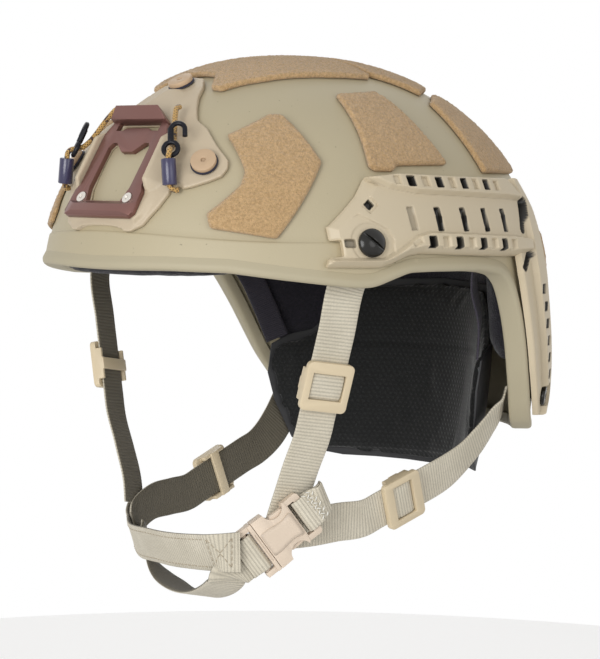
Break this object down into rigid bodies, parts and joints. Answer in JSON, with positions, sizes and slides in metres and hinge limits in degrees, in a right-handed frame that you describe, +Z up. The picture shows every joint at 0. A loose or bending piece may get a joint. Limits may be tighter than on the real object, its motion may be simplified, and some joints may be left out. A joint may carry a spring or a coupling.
{
  "type": "combat helmet",
  "caption": "High-cut combat helmet with front shroud, side rails, loop patches, padded liner with fit dial, and four-point chin strap with side-release buckle.",
  "frame": {"origin": "centre of the shell's widest section, at the level where the wearer's head is widest", "axes": "+Z up, -Y the way the wearer faces, +X the wearer's left"},
  "size_m": [0.2404, 0.2806, 0.2693],
  "materials": {
    "shell_coat": "matt textured coating over a moulded laminate",
    "trim_rubber": "matt",
    "shroud_polymer": "matt moulded",
    "shroud_alloy": "anodised brown with bevelled edges",
    "screw_plated": "plated",
    "screw_tan": "matt paint",
    "screw_black": "black oxide with a gloss dome",
    "washer_rubber": "matt",
    "lanyard_elastic": "braided elastic cord",
    "lanyard_sleeve": "shrunk sleeve",
    "hook_black": "black",
    "rail_polymer": "matt moulded",
    "loop_pile": "loop pile",
    "pad_fabric": "brushed loop cloth over foam",
    "nape_mesh": "perforated mesh over foam",
    "nape_plastic": "thin sheet",
    "hanger_webbing": "narrow webbing",
    "dial_plastic": "satin",
    "lace_nylon": "monofilament braid",
    "webbing": "woven webbing",
    "buckle_plastic": "satin moulded"
  },
  "bodies": {
    "root": {"shell": "shell_coat", "edge_trim": "trim_rubber", "shroud_body": "shroud_polymer", "shroud_insert": "shroud_alloy", "insert_screws": "screw_plated", "shroud_screws": "screw_tan", "shroud_washers": "washer_rubber", "left_lanyard_cord": "lanyard_elastic", "right_lanyard_cord": "lanyard_elastic", "left_lanyard_sleeve": "lanyard_sleeve", "right_lanyard_sleeve": "lanyard_sleeve", "left_rail": "rail_polymer", "right_rail": "rail_polymer", "rail_front_screws": "screw_black", "rail_rear_screws": "screw_black", "rail_standoffs": "washer_rubber", "rail_nuts": "screw_black", "crown_patch": "loop_pile", "crown_rear_patch": "loop_pile", "left_front_patch": "loop_pile", "right_front_patch": "loop_pile", "left_rear_patch": "loop_pile", "right_rear_patch": "loop_pile", "left_quarter_patch": "loop_pile", "right_quarter_patch": "loop_pile", "back_patch": "loop_pile", "brow_pad": "pad_fabric", "crown_pad": "pad_fabric", "left_front_pad": "pad_fabric", "right_front_pad": "pad_fabric", "left_rear_pad": "pad_fabric", "right_rear_pad": "pad_fabric", "back_pad": "pad_fabric", "nape_pad": "nape_mesh", "nape_stiffener": "nape_plastic", "nape_hangers": "hanger_webbing", "dial_housing": "dial_plastic", "dial_laces": "lace_nylon", "left_front_strap": "webbing", "right_front_strap": "webbing", "left_rear_strap": "webbing", "right_rear_strap": "webbing", "buckle_tab": "webbing", "buckle_housing": "buckle_plastic", "chin_front_band": "webbing", "chin_lower_band": "webbing"},
    "buckle_tongue": {"buckle_tongue": "buckle_plastic", "bar_webbing": "webbing"},
    "left_front_slider": {"left_front_slider": "buckle_plastic", "left_front_keeper": "webbing"},
    "right_front_slider": {"right_front_slider": "buckle_plastic", "right_front_keeper": "webbing"},
    "left_rear_slider": {"left_rear_slider": "buckle_plastic", "left_rear_keeper": "webbing"},
    "right_rear_slider": {"right_rear_slider": "buckle_plastic", "right_rear_keeper": "webbing"},
    "fit_dial": {"dial_knob": "dial_plastic"},
    "left_hook": {"left_hook": "hook_black"},
    "right_hook": {"right_hook": "hook_black"}
  },
  "joints": [
    {"name": "buckle_release", "type": "slide", "parent": "root", "child": "buckle_tongue", "axis": [-0.4058, -0.6897, -0.5997], "range_m": [0, 0.022], "deforming": ["chin_front_band", "chin_lower_band"]},
    {"name": "left_front_slider_slide", "type": "slide", "parent": "root", "child": "left_front_slider", "axis": [-0.2422, -0.0505, -0.9689], "range_m": [-0.01, 0.01]},
    {"name": "left_rear_slider_slide", "type": "slide", "parent": "root", "child": "left_rear_slider", "axis": [-0.1038, -0.9395, -0.3264], "range_m": [-0.01, 0.01]},
    {"name": "right_front_slider_slide", "type": "slide", "parent": "root", "child": "right_front_slider", "axis": [0.2422, -0.0505, -0.9689], "range_m": [-0.01, 0.01]},
    {"name": "right_rear_slider_slide", "type": "slide", "parent": "root", "child": "right_rear_slider", "axis": [0.1038, -0.9395, -0.3264], "range_m": [-0.01, 0.01]},
    {"name": "fit_dial_turn", "type": "hinge", "parent": "root", "child": "fit_dial", "pos_m": [0, 0.11269, -0.093], "axis": [0, 0.9933, -0.1155], "continuous": true},
    {"name": "left_hook_swing", "type": "hinge", "parent": "root", "child": "left_hook", "pos_m": [0.0342, -0.1186, 0.0636], "axis": [0.5695, -0.7693, 0.2897], "range_deg": [-48, 0]},
    {"name": "right_hook_swing", "type": "hinge", "parent": "root", "child": "right_hook", "pos_m": [-0.0342, -0.1186, 0.0636], "axis": [-0.5695, -0.7693, 0.2897], "range_deg": [0, 48]}
  ]
}
